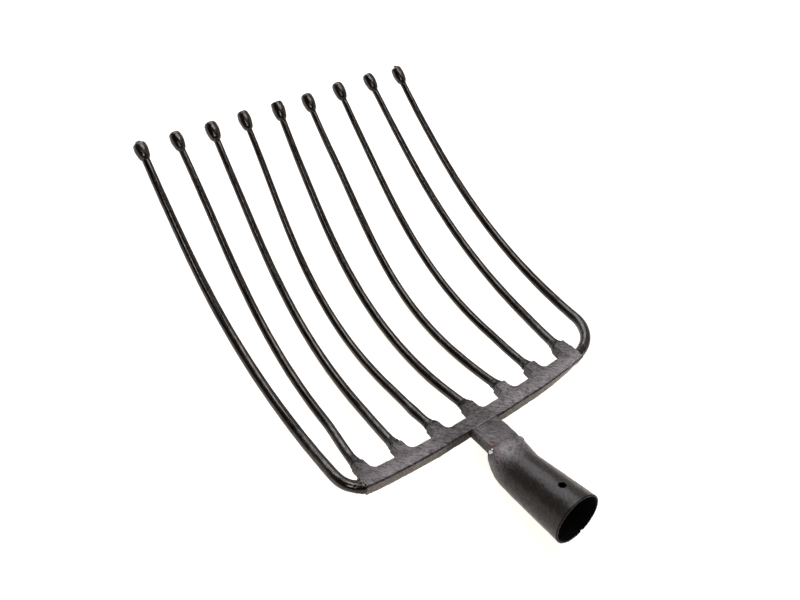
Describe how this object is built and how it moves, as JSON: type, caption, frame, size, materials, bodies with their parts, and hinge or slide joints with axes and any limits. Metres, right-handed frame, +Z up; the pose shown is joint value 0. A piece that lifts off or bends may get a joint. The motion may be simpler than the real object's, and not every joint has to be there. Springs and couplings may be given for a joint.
{
  "type": "potato fork head",
  "caption": "Head of a potato fork: a row of long round upcurved tines with blunt knobs, welded to a dished crossbar with a flat neck and a tapered round handle socket",
  "frame": {"origin": "the middle of the socket's mouth, where the handle enters", "axes": "+X runs level from the handle towards the tips, +Y across the tines towards tine 1, +Z up from the ground that the head lies on"},
  "size_m": [0.3983, 0.2671, 0.0936],
  "materials": {
    "tine_paint": "worn semi-gloss black-brown paint over forged round steel",
    "bar_paint": "brushed purple-grey to black paint, satin, with fine streaks and small pits",
    "socket_paint": "mottled semi-gloss black-brown paint over rolled sheet steel",
    "weld_metal": "rough lumpy weld bead under the same dark paint"
  },
  "bodies": {
    "root": {"crossbar": "bar_paint", "neck": "bar_paint", "neck_weld": "weld_metal", "socket": "socket_paint", "socket_seam_weld": "weld_metal", "left_shoulder_weld": "weld_metal", "right_shoulder_weld": "weld_metal", "tine_1": "tine_paint", "tine_2": "tine_paint", "tine_3": "tine_paint", "tine_4": "tine_paint", "tine_5": "tine_paint", "tine_6": "tine_paint", "tine_7": "tine_paint", "tine_8": "tine_paint", "tine_9": "tine_paint", "tine_weld_1": "weld_metal", "tine_weld_2": "weld_metal", "tine_weld_3": "weld_metal", "tine_weld_4": "weld_metal", "tine_weld_5": "weld_metal", "tine_weld_6": "weld_metal", "tine_weld_7": "weld_metal", "tine_weld_8": "weld_metal", "tine_weld_9": "weld_metal"}
  },
  "joints": []
}
